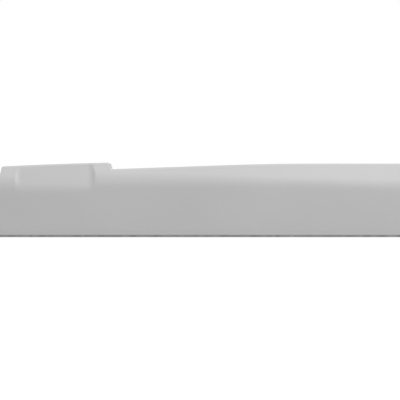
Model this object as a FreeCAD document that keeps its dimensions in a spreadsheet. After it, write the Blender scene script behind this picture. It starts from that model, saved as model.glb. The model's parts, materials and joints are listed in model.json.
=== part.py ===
import FreeCAD, Part
import math
import os
import re
import Sketcher
from FreeCAD import Rotation, Vector

# A low diving board set: an eight-foot board hinged at its rear end and sprung near
# the middle of its base, nested between the side walls of a moulded cowling.
# Frame: +X towards the tip, +Z up, origin on the deck at the centre of the four deck bolts.

DRIVING_SIZES = {
    # moulded cowling
    "base_length": 1150,
    "side_wall_width": 63,
    "corner_radius": 80,
    "shell_wall": 5,
    "crest_above_tread": 15.8,
    "rise_angle": 2,
    "crest_corner_x": 67,
    "crest_radius": 5400,
    "nose_radius": 130,
    "rear_deck_drop": 23.3,
    "rear_radius": 70,
    "bevel_height": 44.8,
    "bevel_inset": 23,
    "foot_lip": 1.5,
    "foot_lip_height": 5,
    "apron_height": 42,
    "gasket_thickness": 4,
    "gasket_width": 14,
    # raised saddle over the board's rear end
    "saddle_rear_x": -475.5,
    "saddle_front_x": -253.5,
    "saddle_rear_run": 4,
    "saddle_front_run": 3.5,
    "saddle_rear_drop": 5.7,
    "saddle_front_rise": 2,
    "saddle_crown_radius": 7500,
    "tunnel_clearance": 5,
    # shallow grip recesses in the saddle's flanks
    "recess_x": -364,
    "recess_floor": 132,
    "recess_draft": 3.5,
    "recess_height": 51.8,
    "recess_depth": 19.5,
    # board
    "board_length": 2438,
    "board_width": 457,
    "board_thickness": 48,
    "board_rear_x": -455,
    "board_corner_radius": 30,
    "board_edge_radius": 7,
    "board_skin_wall": 5,
    "board_end_wall": 20,
    "side_gap": 8.5,
    "stringer_count": 5,
    "tread_thickness": 2,
    "tread_margin": 14,
    # steel sub-frame
    "plate_thickness": 8,
    "plate_length": 200,
    "rear_plate_x": -380,
    "front_plate_x": 320,
    "rail_size": 30,
    "rail_wall": 3,
    "rail_length": 940,
    "deck_bolt_spacing_x": 720,
    "deck_bolt_spacing_y": 360,
    "deck_bolt_hole": 14,
    # hinge
    "hinge_x": -400,
    "hinge_y": 130,
    "pin_rise": 40,
    "pin_diameter": 20,
    "pin_fit": 0.05,
    "ear_radius": 22,
    "ear_thickness": 10,
    "flange_length": 100,
    "flange_width": 84,
    "lug_radius": 18,
    "lug_width": 28,
    "lug_drop": 25,
    "bush_wall": 3,
    "bush_collar": 1.5,
    "side_play": 0.5,
    "pin_head_rim": 4,
    "pin_head_thickness": 4,
    "pin_tail": 10,
    "cotter_diameter": 3.2,
    "cotter_ring_radius": 4,
    "cotter_rise": 1,
    "bush_collar_rim": 2.1,
    "hinge_plate_length": 100,
    "under_plate_inset": 45,
    "tilt_limit": 2,
    # springs and stops
    "spring_x": 300,
    "spring_y": 130,
    "wire_diameter": 10,
    "coil_wide_radius": 50,
    "coil_narrow_radius": 24,
    "coil_turns": 3,
    "seat_floor": 4,
    "lower_seat_lip": 12,
    "upper_seat_lip": 9,
    "seat_wall": 3.5,
    "coil_gap": 1.5,
    "rest_gap": 0.3,
    "spring_plate_length": 140,
    "bump_radius": 22,
    "bump_floor": 8,
    "bump_well_radius": 10,
    "rebound_x": -434,
    "rebound_radius": 15,
    "rebound_foot_radius": 24,
    "rebound_foot_height": 15,
    # fasteners
    "board_bolt_diameter": 12,
    "board_bolt_y": 75,
    "board_bolt_tail": 3,
    "board_head_radius": 12,
    "board_head_height": 3,
    "washer_radius": 15,
    "washer_thickness": 1.5,
    "washer_relief": 1.8,
    "sleeve_wall": 2,
    "hinge_bolt_half_pitch": 30,
    "spring_bolt_half_pitch": 45,
    "frame_bolt_diameter": 10,
    "shell_screw_diameter": 6,
    "shell_screw_pitch": 400,
    "shell_screw_tail": 6,
    "shell_screw_head": 3,
    "shell_screw_head_radius": 6,
    "bolt_foot": 1,
    "hole_clearance": 0.2,
}

DOC = FreeCAD.newDocument("DivingBoard")
SHEET = DOC.addObject("Spreadsheet::Sheet", "Sizes")
for row, (alias, size) in enumerate(DRIVING_SIZES.items(), start=1):
    SHEET.set(f"A{row}", alias)
    SHEET.set(f"B{row}", str(size))
    SHEET.setAlias(f"B{row}", alias)
DOC.recompute()


def qualified(word):
    return f"Sizes.{word[0]}" if word[0] in DRIVING_SIZES else word[0]


def size(expression):
    """The expression with each driving size's alias written as Sizes.alias."""
    return re.sub("[a-z_]+", qualified, expression)


def value(expression):
    """The number that a size expression gives now."""
    return float(SHEET.evalExpression(size(expression)))


def bind(thing, target, expression):
    thing.setExpression(target, size(expression))


# Places shared by several pieces, each an expression on the sheet.
HALF_LENGTH = "( base_length / 2 )"
CHANNEL_HALF = "( board_width / 2 + side_gap )"
HALF_WIDTH = f"( {CHANNEL_HALF} + side_wall_width )"
PLATE_HALF = f"( {CHANNEL_HALF} - hole_clearance )"
PLATE_TOP = "plate_thickness"
RAIL_TOP = "( plate_thickness + rail_size )"
PIN_Z = "( plate_thickness + pin_rise )"
LUG_PLATE_Z = "( plate_thickness + pin_rise + lug_drop )"
BOARD_Z = "( plate_thickness + pin_rise + lug_drop + plate_thickness )"
BOARD_TOP = f"( {BOARD_Z} + board_thickness )"
TREAD_TOP = f"( {BOARD_TOP} + tread_thickness )"
CREST_Z = f"( {TREAD_TOP} + crest_above_tread )"
REAR_DECK_Z = f"( {CREST_Z} - rear_deck_drop )"
BEVEL_FOOT_Z = f"( {CREST_Z} - bevel_height )"
RECESS_FOOT_Z = f"( {CREST_Z} - recess_height )"
TUNNEL_Z = f"( {TREAD_TOP} + tunnel_clearance )"
BOARD_TIP = "( board_rear_x + board_length )"
CLEVIS_HALF = "( lug_width / 2 + bush_collar + side_play )"
EAR_OUTSIDE = f"( {CLEVIS_HALF} + ear_thickness )"
BORE_RADIUS = "( pin_diameter / 2 + pin_fit )"
SEAT_TOP = "( plate_thickness + seat_floor )"
UPPER_SEAT_Z = f"( {LUG_PLATE_Z} - seat_floor )"
SLEEVE_RADIUS = "( board_bolt_diameter / 2 + sleeve_wall )"
SLEEVE_HOLE_RADIUS = f"( {SLEEVE_RADIUS} + rest_gap / 3 )"
NUT_HEIGHT = "board_bolt_diameter * 0.9"
ACROSS_FLATS = "1.6"
HEAD_HEIGHT = "0.64"
THIN_NUT_HEIGHT = "0.8"
SIDES = (("left", 1), ("right", -1))
BOARD_BOLTS = [
    (f"( {plate} + {along} * {half_pitch} )", f"( {across} * board_bolt_y )")
    for plate, half_pitch in (
        ("hinge_x", "hinge_bolt_half_pitch"),
        ("spring_x", "spring_bolt_half_pitch"),
    )
    for along in (-1, 1)
    for across in (-1, 1)
]


# ---- building blocks -------------------------------------------------------------

TURNS = {
    "x": Rotation(Vector(0, 1, 0), 90),
    "y": Rotation(Vector(1, 0, 0), -90),
    "z": Rotation(),
}


def box(name, x, y, z):
    """A block that spans two places along each axis."""
    solid = DOC.addObject("Part::Box", name)
    for side, axis, span in (("Length", "x", x), ("Width", "y", y), ("Height", "z", z)):
        bind(solid, side, f"{span[1]} - ( {span[0]} )")
        bind(solid, f"Placement.Base.{axis}", span[0])
    return solid


def stand(solid, axis, span, centre):
    """Puts a round solid along an axis, from span[0] to span[1], about the other two places."""
    solid.Placement.Rotation = TURNS[axis]
    bind(solid, "Height", f"{span[1]} - ( {span[0]} )")
    others = [other for other in "xyz" if other != axis]
    for other, place in zip(others, centre):
        bind(solid, f"Placement.Base.{other}", place)
    bind(solid, f"Placement.Base.{axis}", span[0])
    return solid


def rod(name, radius, axis, span, centre):
    solid = DOC.addObject("Part::Cylinder", name)
    bind(solid, "Radius", radius)
    return stand(solid, axis, span, centre)


def hexagon(name, across_flats, axis, span, centre):
    solid = DOC.addObject("Part::Prism", name)
    solid.Polygon = 6
    bind(solid, "Circumradius", f"{across_flats} / sqrt( 3 )")
    return stand(solid, axis, span, centre)


def fuse(name, *parts):
    joined = DOC.addObject("Part::MultiFuse", name)
    joined.Shapes = list(parts)
    return joined


def cut(name, blank, *tools):
    result = DOC.addObject("Part::Cut", name)
    result.Base = blank
    result.Tool = tools[0] if len(tools) == 1 else fuse(f"{name}_tools", *tools)
    return result


def group(name, solids):
    """Identical loose pieces that share one node."""
    kit = DOC.addObject("Part::Compound", name)
    kit.Links = list(solids)
    return kit


# ---- sketches and bodies ---------------------------------------------------------


def body_named(name):
    return DOC.addObject("PartDesign::Body", name)


def sketch_on(body, role, name):
    sketch = body.newObject("Sketcher::SketchObject", name)
    plane = next(item for item in body.Origin.OriginFeatures if item.Role == role)
    sketch.AttachmentSupport = [(plane, "")]
    sketch.MapMode = "FlatFace"
    return sketch


def pin_point(sketch, geometry, end, place):
    """Fixes one end of an edge at a place given by two size expressions."""
    for kind, expression in zip(("DistanceX", "DistanceY"), place):
        number = value(expression)
        index = sketch.addConstraint(Sketcher.Constraint(kind, -1, 1, geometry, end, number))
        sketch.renameConstraint(index, f"{kind}{index}")
        bind(sketch, f"Constraints.{kind}{index}", expression)


def outline(sketch, corners):
    """A closed wire, clockwise; a corner with a third item starts an arc that bulges outward."""
    places = [Vector(value(corner[0]), value(corner[1]), 0) for corner in corners]
    ends = []
    for i, corner in enumerate(corners):
        start, finish = places[i], places[(i + 1) % len(places)]
        if len(corner) == 2:
            edge = sketch.addGeometry(Part.LineSegment(start, finish))
            ends.append((edge, 1, 2))
        else:
            radius = value(corner[2])
            chord = finish - start
            inward = Vector(chord.y, -chord.x, 0).normalize()
            reach = math.sqrt(max(radius**2 - (chord.Length / 2) ** 2, 0))
            centre = (start + finish) / 2 + inward * reach
            low = math.atan2(finish.y - centre.y, finish.x - centre.x)
            high = math.atan2(start.y - centre.y, start.x - centre.x)
            circle = Part.Circle(centre, Vector(0, 0, 1), radius)
            edge = sketch.addGeometry(Part.ArcOfCircle(circle, low, high))
            index = sketch.addConstraint(Sketcher.Constraint("Radius", edge, radius))
            sketch.renameConstraint(index, f"Radius{index}")
            bind(sketch, f"Constraints.Radius{index}", corner[2])
            ends.append((edge, 2, 1))
    for i, (edge, start, finish) in enumerate(ends):
        after, after_start, _ = ends[(i + 1) % len(ends)]
        sketch.addConstraint(
            Sketcher.Constraint("Coincident", edge, finish, after, after_start)
        )
        pin_point(sketch, edge, start, corners[i][:2])
    return sketch


def circle(sketch, radius, x, y):
    """A hole's circle in a sketch."""
    centre = Vector(value(x), value(y), 0)
    edge = sketch.addGeometry(Part.Circle(centre, Vector(0, 0, 1), value(radius)))
    pin_point(sketch, edge, 3, (x, y))
    index = sketch.addConstraint(Sketcher.Constraint("Radius", edge, value(radius)))
    sketch.renameConstraint(index, f"Radius{index}")
    bind(sketch, f"Constraints.Radius{index}", radius)


def rounded_rectangle(half_x, half_y, radius, x="0"):
    """Corners of a rectangle with round corners, clockwise from its lower left side."""
    west, east = f"{x} - {half_x}", f"{x} + {half_x}"
    return [
        (west, f"{radius} - {half_y}"),
        (west, f"{half_y} - {radius}", radius),
        (f"{west} + {radius}", half_y),
        (f"{east} - {radius}", half_y, radius),
        (east, f"{half_y} - {radius}"),
        (east, f"{radius} - {half_y}", radius),
        (f"{east} - {radius}", f"0 - {half_y}"),
        (f"{west} + {radius}", f"0 - {half_y}", radius),
    ]


def rectangle(half_x, half_y):
    """Corners of a plain rectangle, clockwise from its lower left."""
    west, south = f"0 - {half_x}", f"0 - {half_y}"
    return [(west, south), (west, half_y), (half_x, half_y), (half_x, south)]


def pad(body, sketch, name, length, midplane=False):
    feature = body.newObject("PartDesign::Pad", name)
    feature.Profile = sketch
    bind(feature, "Length", length)
    feature.SideType = "Symmetric" if midplane else "One side"
    return feature


def pocket_through(body, sketch, name):
    """Cuts the sketch out of the whole body, both ways."""
    DOC.recompute()
    before = body.Shape.Volume
    feature = body.newObject("PartDesign::Pocket", name)
    feature.Profile = sketch
    feature.SideType = "Symmetric"
    feature.Type = "ThroughAll"
    DOC.recompute()
    if body.Shape.Volume > before - 1:
        raise RuntimeError(f"{name} cuts nothing")
    return feature


# ---- moulded cowling -------------------------------------------------------------


def side_profile(inset):
    """Clockwise side view of the cowling, drawn in by the inset."""
    rear = f"( 0 - {HALF_LENGTH} + foot_lip + {inset} )"
    front = f"( {HALF_LENGTH} - foot_lip - {inset} )"
    rise = "tan( rise_angle )"
    half_turn = "crest_radius * tan( rise_angle / 2 )"
    arch_start_x = f"crest_corner_x - {half_turn} * cos( rise_angle )"
    arch_start_z = f"{CREST_Z} - {half_turn} * sin( rise_angle ) - {inset}"
    return [
        (rear, "gasket_thickness"),
        (rear, f"{REAR_DECK_Z} - rear_radius", f"rear_radius - {inset}"),
        (f"rear_radius - {HALF_LENGTH} + foot_lip", f"{REAR_DECK_Z} - {inset}"),
        (f"saddle_rear_x + {inset}", f"{REAR_DECK_Z} - {inset}"),
        (
            f"saddle_rear_x + saddle_rear_run + {inset}",
            f"{CREST_Z} - saddle_rear_drop - {inset}",
            f"saddle_crown_radius - {inset}",
        ),
        (
            f"saddle_front_x - saddle_front_run - {inset}",
            f"{CREST_Z} + saddle_front_rise - {inset}",
        ),
        (
            f"saddle_front_x - {inset}",
            f"{CREST_Z} - ( crest_corner_x - saddle_front_x ) * {rise} - {inset}",
        ),
        (arch_start_x, arch_start_z, f"crest_radius - {inset}"),
        (f"crest_corner_x + {half_turn}", f"{CREST_Z} - {inset}"),
        (
            f"{HALF_LENGTH} - foot_lip - nose_radius",
            f"{CREST_Z} - {inset}",
            f"nose_radius - {inset}",
        ),
        (front, f"{CREST_Z} - nose_radius"),
        (front, "gasket_thickness"),
    ]


def cowling_solid(name, inset):
    """The cowling's outer form, or with an inset the space inside its skin."""
    body = body_named(name)
    side = outline(sketch_on(body, "XZ_Plane", f"{name}_side"), side_profile(inset))
    pad(body, side, f"{name}_pad", f"2 * {HALF_WIDTH}", midplane=True)

    half = f"( {HALF_WIDTH} - foot_lip - {inset} )"
    top = f"( 2 * {CREST_Z} )"
    lean = "bevel_inset / bevel_height"
    foot = f"( {BEVEL_FOOT_Z} - {inset} * tan( atan( {lean} ) / 2 ) )"
    top_half = f"( {half} - ( {top} - {foot} ) * {lean} )"
    outside = f"( {HALF_WIDTH} + shell_wall )"
    section = sketch_on(body, "YZ_Plane", f"{name}_section")
    right_waste = [(half, "0"), (half, foot), (top_half, top), (outside, top), (outside, "0")]
    left_waste = [(f"0 - {across}", up) for across, up in reversed(right_waste)]
    outline(section, right_waste)
    outline(section, left_waste)
    pocket_through(body, section, f"{name}_bevels")

    plan = sketch_on(body, "XY_Plane", f"{name}_plan")
    half_x = f"( {HALF_LENGTH} - foot_lip - {inset} )"
    outline(plan, rectangle(f"( {HALF_LENGTH} + shell_wall )", outside))
    outline(plan, rounded_rectangle(half_x, half, f"( corner_radius - {inset} )"))
    pocket_through(body, plan, f"{name}_corners")
    return body


def recess(name, side, wall):
    """A grip recess's tapered hollow, made larger by the skin when there is a wall."""
    block = DOC.addObject("Part::Wedge", name)
    floor = f"( recess_floor / 2 + {wall} )"
    mouth = f"( recess_floor / 2 + {wall} + recess_draft * recess_depth )"
    for face, half in (("X", floor), ("X2", mouth)):
        bind(block, f"{face}min", f"0 - {half}")
        bind(block, f"{face}max", half)
    for face in ("Z", "Z2"):
        bind(block, f"{face}min", f"0 - {wall} - 1")
        bind(block, f"{face}max", CREST_Z)
    bind(block, "Ymin", f"0 - {wall}")
    bind(block, "Ymax", "recess_depth")
    bind(block, "Placement.Base.x", "recess_x")
    bind(block, "Placement.Base.y", f"{side} * ( {HALF_WIDTH} - foot_lip )")
    bind(block, "Placement.Base.z", RECESS_FOOT_Z)
    bind(block, ".Placement.Rotation.Yaw", "0" if side > 0 else "180")
    bind(block, ".Placement.Rotation.Roll", "atan( recess_depth / recess_height )")
    return block


def base_shell():
    outer = cowling_solid("cowling_form", "0")
    lip = sketch_on(outer, "XY_Plane", "foot_lip_plan")
    bind(lip, "AttachmentOffset.Base.z", "gasket_thickness")
    outline(lip, rounded_rectangle(HALF_LENGTH, HALF_WIDTH, "corner_radius"))
    pad(outer, lip, "foot_lip_pad", "foot_lip_height")

    space = cowling_solid("cowling_space", "shell_wall")
    channel = (f"0 - {CHANNEL_HALF}", CHANNEL_HALF)
    open_top = box(
        "channel_above_board",
        ("saddle_front_x", f"{HALF_LENGTH} + shell_wall"),
        channel,
        ("apron_height", f"2 * {CREST_Z}"),
    )
    tunnel = box(
        "saddle_tunnel",
        ("board_rear_x - side_gap", "saddle_front_x + shell_wall"),
        channel,
        ("apron_height", TUNNEL_Z),
    )
    walls = [
        box(
            f"channel_wall_{hand}",
            ("0 - rail_length / 2", f"{HALF_LENGTH} - shell_wall"),
            (
                f"{side} * ( {CHANNEL_HALF} + shell_wall / 2 ) - shell_wall / 2",
                f"{side} * ( {CHANNEL_HALF} + shell_wall / 2 ) + shell_wall / 2",
            ),
            (PLATE_TOP, f"2 * {CREST_Z}"),
        )
        for hand, side in SIDES
    ]
    backs = [recess(f"recess_back_{hand}", side, "shell_wall") for hand, side in SIDES]
    cavity = cut("cowling_cavity", space, *walls, *backs)
    recesses = [recess(f"recess_{hand}", side, "0") for hand, side in SIDES]
    holes = [
        rod(
            f"shell_screw_hole_{hand}_{step + 1}",
            "shell_screw_diameter / 2 + hole_clearance",
            "y",
            (f"{side} * ( {CHANNEL_HALF} + shell_wall / 2 ) - shell_wall",
             f"{side} * ( {CHANNEL_HALF} + shell_wall / 2 ) + shell_wall"),
            (f"{step} * shell_screw_pitch", "plate_thickness + rail_size / 2"),
        )
        for hand, side in SIDES
        for step in (-1, 0, 1)
    ]
    return cut("base_shell", outer, cavity, open_top, tunnel, *recesses, *holes)


def base_gasket():
    body = body_named("base_gasket")
    ring = sketch_on(body, "XY_Plane", "gasket_ring")
    outline(ring, rounded_rectangle(
        f"( {HALF_LENGTH} - foot_lip )", f"( {HALF_WIDTH} - foot_lip )", "corner_radius"
    ))
    outline(ring, rounded_rectangle(
        f"( {HALF_LENGTH} - gasket_width )",
        f"( {HALF_WIDTH} - gasket_width )",
        "( corner_radius - gasket_width )",
    ))
    pad(body, ring, "gasket_pad", "gasket_thickness")
    return body


# ---- steel sub-frame -------------------------------------------------------------


def base_plate(name, centre_x, deck_x, bolt_places):
    """A deck plate with two deck-bolt holes and the holes for what it carries."""
    body = body_named(name)
    sketch = sketch_on(body, "XY_Plane", f"{name}_outline")
    outline(sketch, rounded_rectangle("plate_length / 2", PLATE_HALF, "plate_thickness", centre_x))
    for across in (-1, 1):
        circle(sketch, "deck_bolt_hole / 2", deck_x, f"{across} * deck_bolt_spacing_y / 2")
    for x, y in bolt_places:
        circle(sketch, "frame_bolt_diameter / 2 + hole_clearance", x, y)
    pad(body, sketch, f"{name}_pad", "plate_thickness")
    return body


def flange_bolt_places(side):
    """The four bolts of one clevis bracket."""
    reach_x = "( flange_length / 2 - frame_bolt_diameter )"
    reach_y = "( flange_width / 2 - frame_bolt_diameter )"
    return [
        (f"hinge_x + {along} * {reach_x}", f"{side} * hinge_y + {across} * {reach_y}")
        for along in (-1, 1)
        for across in (-1, 1)
    ]


def seat_bolt_places():
    """One bolt at the middle of each spring seat and one through the bump stop."""
    return [("spring_x", "spring_y"), ("spring_x", "0 - spring_y"), ("spring_x", "0")]


def frame_rail(hand, side):
    near = f"{side} * ( {CHANNEL_HALF} - rail_size / 2 )"
    half = "rail_size / 2"
    ends = ("0 - rail_length / 2", "rail_length / 2")
    tube = box(f"rail_tube_{hand}", ends, (f"{near} - {half}", f"{near} + {half}"),
               (PLATE_TOP, RAIL_TOP))
    bore = box(
        f"rail_bore_{hand}",
        ends,
        (f"{near} - {half} + rail_wall", f"{near} + {half} - rail_wall"),
        (f"{PLATE_TOP} + rail_wall", f"{RAIL_TOP} - rail_wall"),
    )
    holes = [
        rod(
            f"rail_hole_{hand}_{step + 2}",
            "shell_screw_diameter / 2 + hole_clearance",
            "y",
            (f"{near} - rail_size", f"{near} + rail_size"),
            (f"{step} * shell_screw_pitch", "plate_thickness + rail_size / 2"),
        )
        for step in (-1, 0, 1)
    ]
    return cut(f"frame_rail_{hand}", tube, bore, *holes)


def cross_member():
    """A square tube between the rails, welded to both."""
    reach = f"( {CHANNEL_HALF} - rail_size )"
    span = (f"0 - {reach}", reach)
    middle = "( rear_plate_x + front_plate_x ) / 2"
    tube = box("cross_tube", (f"{middle} - rail_size / 2", f"{middle} + rail_size / 2"), span,
               (PLATE_TOP, RAIL_TOP))
    bore = box(
        "cross_bore",
        (f"{middle} - rail_size / 2 + rail_wall", f"{middle} + rail_size / 2 - rail_wall"),
        span,
        (f"{PLATE_TOP} + rail_wall", f"{RAIL_TOP} - rail_wall"),
    )
    return cut("cross_member", tube, bore)


def hinge_bracket(hand, side):
    centre = f"( {side} * hinge_y )"
    flange = box(
        f"bracket_flange_{hand}",
        ("hinge_x - flange_length / 2", "hinge_x + flange_length / 2"),
        (f"{centre} - flange_width / 2", f"{centre} + flange_width / 2"),
        (PLATE_TOP, "2 * plate_thickness"),
    )
    across = (f"{centre} - {EAR_OUTSIDE}", f"{centre} + {EAR_OUTSIDE}")
    web = box(f"ear_web_{hand}", ("hinge_x - ear_radius", "hinge_x + ear_radius"), across,
              (PLATE_TOP, PIN_Z))
    crown = rod(f"ear_crown_{hand}", "ear_radius", "y", across, ("hinge_x", PIN_Z))
    gap = box(
        f"ear_gap_{hand}",
        ("hinge_x - flange_length", "hinge_x + flange_length"),
        (f"{centre} - {CLEVIS_HALF}", f"{centre} + {CLEVIS_HALF}"),
        ("2 * plate_thickness", f"{PIN_Z} + 2 * ear_radius"),
    )
    bore = rod(f"ear_bore_{hand}", BORE_RADIUS, "y", across, ("hinge_x", PIN_Z))
    holes = [
        rod(f"flange_hole_{hand}_{n}", "frame_bolt_diameter / 2 + hole_clearance", "z",
            ("0", "3 * plate_thickness"), place)
        for n, place in enumerate(flange_bolt_places(side))
    ]
    blank = fuse(f"bracket_blank_{hand}", flange, web, crown)
    return cut(f"hinge_bracket_{hand}", blank, gap, bore, *holes)


def clevis_pin(hand, side):
    """A headed pin, its head towards the rail and its cotter hole towards the middle."""
    outer = f"{side} * ( hinge_y + {EAR_OUTSIDE} )"
    inner = f"{side} * ( hinge_y - {EAR_OUTSIDE} - pin_tail )"
    low, high = (inner, outer) if side > 0 else (outer, inner)
    shank = rod(f"pin_shank_{hand}", "pin_diameter / 2", "y", (low, high), ("hinge_x", PIN_Z))
    head_span = (outer, f"{outer} + pin_head_thickness")
    if side < 0:
        head_span = (f"{outer} - pin_head_thickness", outer)
    head = rod(f"pin_head_{hand}", "pin_diameter / 2 + pin_head_rim", "y", head_span,
               ("hinge_x", PIN_Z))
    hole = rod(f"pin_cotter_hole_{hand}", "cotter_diameter / 2 + rest_gap", "z",
               (f"{PIN_Z} - pin_diameter", f"{PIN_Z} + pin_diameter"), cotter_place(side))
    return cut(f"clevis_pin_{hand}", fuse(f"pin_blank_{hand}", shank, head), hole)


def cotter_place(side):
    return ("hinge_x", f"{side} * ( hinge_y - {EAR_OUTSIDE} - pin_tail / 2 )")


def cotter_pin(hand, side):
    """A straight leg through the clevis pin with a ring on top."""
    leg_top = f"{PIN_Z} + pin_diameter / 2 + cotter_rise"
    leg_foot = f"{PIN_Z} - pin_diameter / 2 - cotter_ring_radius"
    leg = rod(f"cotter_leg_{hand}", "cotter_diameter / 2", "z", (leg_foot, leg_top),
              cotter_place(side))
    ring = DOC.addObject("Part::Torus", f"cotter_ring_{hand}")
    bind(ring, "Radius1", "cotter_ring_radius")
    bind(ring, "Radius2", "cotter_diameter / 2")
    ring.Placement.Rotation = TURNS["y"]
    for axis, place in zip("xyz", (*cotter_place(side), f"{leg_top} + cotter_ring_radius")):
        bind(ring, f"Placement.Base.{axis}", place)
    return fuse(f"cotter_{hand}", leg, ring)


# ---- springs and stops -----------------------------------------------------------


def spring_seat(name, side, radius, floor_span, lip_span):
    """A shallow cup that holds one end of a coil."""
    centre = ("spring_x", f"{side} * spring_y")
    low = min(floor_span[0], lip_span[0], key=value)
    high = max(floor_span[1], lip_span[1], key=value)
    cup = rod(f"{name}_cup", f"{radius} + seat_wall", "z", (low, high), centre)
    hollow = rod(f"{name}_hollow", radius, "z", lip_span, centre)
    hole = rod(f"{name}_hole", "frame_bolt_diameter / 2 + hole_clearance", "z", (low, high), centre)
    return cut(name, cup, hollow, hole)


def lower_seat(hand, side):
    radius = "( coil_wide_radius + wire_diameter / 2 + coil_gap )"
    return spring_seat(f"lower_seat_{hand}", side, radius, (PLATE_TOP, SEAT_TOP),
                       (SEAT_TOP, f"{PLATE_TOP} + lower_seat_lip"))


def upper_seat(hand, side):
    radius = "( coil_narrow_radius + wire_diameter / 2 + coil_gap )"
    return spring_seat(f"upper_seat_{hand}", side, radius, (UPPER_SEAT_Z, LUG_PLATE_Z),
                       (f"{LUG_PLATE_Z} - upper_seat_lip", UPPER_SEAT_Z))


def spring(hand, side):
    """A conical coil, wide at the foot."""
    foot = f"( {SEAT_TOP} + wire_diameter / 2 + rest_gap )"
    rise = f"( {UPPER_SEAT_Z} - {SEAT_TOP} - wire_diameter - 2 * rest_gap )"
    path = DOC.addObject("Part::Helix", f"coil_path_{hand}")
    bind(path, "Height", rise)
    bind(path, "Pitch", f"{rise} / coil_turns")
    bind(path, "Radius", "coil_wide_radius")
    bind(path, "Angle", f"atan( ( coil_narrow_radius - coil_wide_radius ) / {rise} )")
    wire = DOC.addObject("Part::Circle", f"wire_{hand}")
    bind(wire, "Radius", "wire_diameter / 2")
    wire.Placement.Rotation = Rotation(Vector(1, 0, 0), 90)
    for item, reach in ((path, "0"), (wire, "coil_wide_radius")):
        bind(item, "Placement.Base.x", f"spring_x + {reach}")
        bind(item, "Placement.Base.y", f"{side} * spring_y")
        bind(item, "Placement.Base.z", foot)
    DOC.recompute()
    coil = DOC.addObject("Part::Sweep", f"spring_{hand}")
    coil.Sections = [wire]
    coil.Spine = (path, [f"Edge{n}" for n in range(1, len(path.Shape.Edges) + 1)])
    coil.Solid = True
    coil.Frenet = True
    return coil


def bump_stop():
    """A rubber block that the spring plate meets at full tilt."""
    reach = "( spring_x - hinge_x + bump_radius )"
    top = f"( {PIN_Z} + lug_drop * cos( tilt_limit ) - {reach} * sin( tilt_limit ) - rest_gap )"
    centre = ("spring_x", "0")
    block = rod("bump_block", "bump_radius", "z", (PLATE_TOP, top), centre)
    head_room = rod("bump_bolt_well", "bump_well_radius", "z",
                    (f"{PLATE_TOP} + bump_floor", top), centre)
    hole = rod("bump_hole", "frame_bolt_diameter / 2 + hole_clearance", "z", (PLATE_TOP, top), centre)
    return cut("bump_stop", block, head_room, hole)


def rebound_bumper():
    """A rubber post under the board's rear end, which stops the tip from rising."""
    top = f"( {LUG_PLATE_Z} - rest_gap )"
    centre = ("rebound_x", "0")
    post = rod("rebound_post", "rebound_radius", "z", (PLATE_TOP, top), centre)
    foot = DOC.addObject("Part::Cone", "rebound_foot")
    bind(foot, "Radius1", "rebound_foot_radius")
    bind(foot, "Radius2", "rebound_radius")
    stand(foot, "z", (PLATE_TOP, f"{PLATE_TOP} + rebound_foot_height"), centre)
    return fuse("rebound_bumper", post, foot)


# ---- board -----------------------------------------------------------------------


def board_hole_tools(name, radius, span, places):
    return [rod(f"{name}_{n + 1}", radius, "z", span, place) for n, place in enumerate(places)]


def board_shell():
    """The moulded hull of the board: its underside, sides and solid ends."""
    middle = "( board_rear_x + board_length / 2 )"
    body = body_named("board_hull_form")
    plan = sketch_on(body, "XY_Plane", "board_plan")
    bind(plan, "AttachmentOffset.Base.z", BOARD_Z)
    outline(plan, rounded_rectangle(
        "( board_length / 2 )", "( board_width / 2 )", "board_corner_radius", middle
    ))
    slab = pad(body, plan, "board_pad", "board_thickness")
    DOC.recompute()
    rounds = body.newObject("PartDesign::Fillet", "board_edges")
    low = value(BOARD_Z)
    edges = [
        f"Edge{i}" for i, edge in enumerate(slab.Shape.Edges, 1) if edge.BoundBox.ZMax < low + 1
    ]
    rounds.Base = (slab, edges)
    bind(rounds, "Radius", "board_edge_radius")

    half_x = "( board_length / 2 - board_end_wall )"
    half_y = "( board_width / 2 - board_skin_wall )"
    well = box(
        "board_well",
        (f"{middle} - {half_x}", f"{middle} + {half_x}"),
        (f"0 - {half_y}", half_y),
        (f"{BOARD_Z} + board_skin_wall", f"{BOARD_TOP} + board_skin_wall"),
    )
    holes = board_hole_tools("hull_hole", SLEEVE_HOLE_RADIUS,
                             (f"{BOARD_Z} - 1", BOARD_TOP), BOARD_BOLTS)
    return cut("board_hull", body, well, *holes)


def inner_span_x():
    return ("board_rear_x + board_end_wall", f"{BOARD_TIP} - board_end_wall")


def board_deck():
    """The upper skin, let into the hull over the wooden core."""
    half_y = "( board_width / 2 - board_skin_wall )"
    panel = box("deck_panel", inner_span_x(), (f"0 - {half_y}", half_y),
                (f"{BOARD_TOP} - board_skin_wall", BOARD_TOP))
    holes = board_hole_tools("deck_hole", SLEEVE_HOLE_RADIUS,
                             (f"{BOARD_TOP} - 2 * board_skin_wall", TREAD_TOP), BOARD_BOLTS)
    return cut("board_deck", panel, *holes)


def core_stringer(n):
    """One lengthwise timber of the core, numbered from the right-hand side."""
    width = "( ( board_width - 2 * board_skin_wall ) / stringer_count )"
    edge = "( 0 - board_width / 2 + board_skin_wall )"
    low_y, high_y = f"{edge} + {n} * {width}", f"{edge} + {n + 1} * {width}"
    timber = box(f"timber_{n + 1}", inner_span_x(), (low_y, high_y),
                 (f"{BOARD_Z} + board_skin_wall", f"{BOARD_TOP} - board_skin_wall"))
    places = [place for place in BOARD_BOLTS if value(low_y) < value(place[1]) < value(high_y)]
    if not places:
        timber.Label = f"core_stringer_{n + 1}"
        return timber
    holes = board_hole_tools(f"timber_{n + 1}_hole", SLEEVE_HOLE_RADIUS,
                             (BOARD_Z, BOARD_TOP), places)
    return cut(f"core_stringer_{n + 1}", timber, *holes)


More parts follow.
